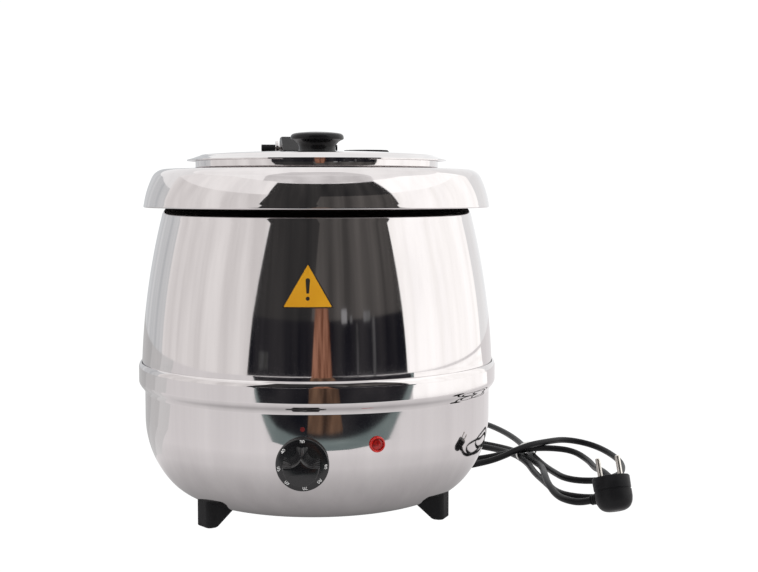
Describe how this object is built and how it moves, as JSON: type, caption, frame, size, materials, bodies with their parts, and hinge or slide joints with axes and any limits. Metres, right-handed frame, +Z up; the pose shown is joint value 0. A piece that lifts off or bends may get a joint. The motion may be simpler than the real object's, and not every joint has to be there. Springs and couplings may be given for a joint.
{
  "type": "soup kettle",
  "caption": "Round countertop wet-heat soup kettle: polished steel body on feet, lift-out pot and ring, hinged lid with ladle notch, dial, lamp and mains cord.",
  "frame": {"origin": "on the table surface, on the kettle's upright axis", "axes": "+Z up, -Y towards the user (dial and lamp side), +X to the user's right"},
  "size_m": [0.541, 0.655, 0.3619],
  "materials": {
    "polished_steel": "mirror polished",
    "plain_steel": "fine brushed",
    "screw_steel": "bright plated",
    "heater_steel": "heat darkened",
    "copper_tube": "drawn",
    "black_plastic": "moulded satin",
    "grey_plastic": "moulded",
    "dial_black": "moulded semi gloss",
    "knob_black": "moulded semi gloss",
    "plug_black": "soft satin",
    "cord_black": "smooth sheath",
    "lamp_red": "clear moulded",
    "red_paint": "painted",
    "label_yellow": "printed film",
    "tie_wire": "bare wire",
    "pin_metal": "nickel plated"
  },
  "bodies": {
    "base_unit": {"lower_shell": "polished_steel", "upper_shell": "polished_steel", "base_plate": "plain_steel", "base_screws": "screw_steel", "foot_1": "black_plastic", "foot_2": "black_plastic", "foot_3": "black_plastic", "foot_screws": "screw_steel", "water_well": "plain_steel", "heater_element": "heater_steel", "clamp_plate": "plain_steel", "clamp_stud": "screw_steel", "clamp_nut": "screw_steel", "thermostat_bracket": "plain_steel", "thermostat_body": "grey_plastic", "thermostat_screws": "screw_steel", "capillary_bulb": "copper_tube", "index_mark": "red_paint", "lamp_lens": "lamp_red", "lamp_body": "grey_plastic", "warning_label": "label_yellow", "cable_gland": "black_plastic", "gland_nut": "black_plastic", "inner_cable": "cord_black", "terminal_block": "grey_plastic", "terminal_screws": "copper_tube", "earth_stud": "copper_tube", "internal_wires": "cord_black", "cord_lead": "cord_black", "cord_hank": "cord_black", "cord_tie": "tie_wire", "plug_body": "plug_black", "plug_pins": "pin_metal", "plug_earth_strips": "pin_metal"},
    "pot": {"soup_pot": "plain_steel"},
    "ring": {"top_ring": "polished_steel", "hinge_base": "polished_steel", "hinge_screws": "screw_steel", "hinge_pin": "screw_steel", "hinge_caps": "black_plastic"},
    "lid": {"lid": "polished_steel", "notch_trim": "black_plastic", "lid_knob": "knob_black", "knob_screw": "screw_steel", "hinge_block": "knob_black", "lid_screws": "screw_steel"},
    "dial": {"dial": "dial_black", "dial_shaft": "screw_steel"}
  },
  "joints": [
    {"name": "pot_lift", "type": "slide", "parent": "base_unit", "child": "pot", "axis": [0, 0, 1], "range_m": [0, 0.28]},
    {"name": "ring_lift", "type": "slide", "parent": "pot", "child": "ring", "axis": [0, 0, 1], "range_m": [0, 0.08]},
    {"name": "lid_hinge", "type": "hinge", "parent": "ring", "child": "lid", "pos_m": [0, 0.133, 0.35], "axis": [-1, 0, 0], "range_deg": [0, 100]},
    {"name": "dial_turn", "type": "hinge", "parent": "base_unit", "child": "dial", "pos_m": [-0.03127, -0.1671, 0.075], "axis": [-0.184, -0.9829, 0], "range_deg": [-270, 0]}
  ]
}
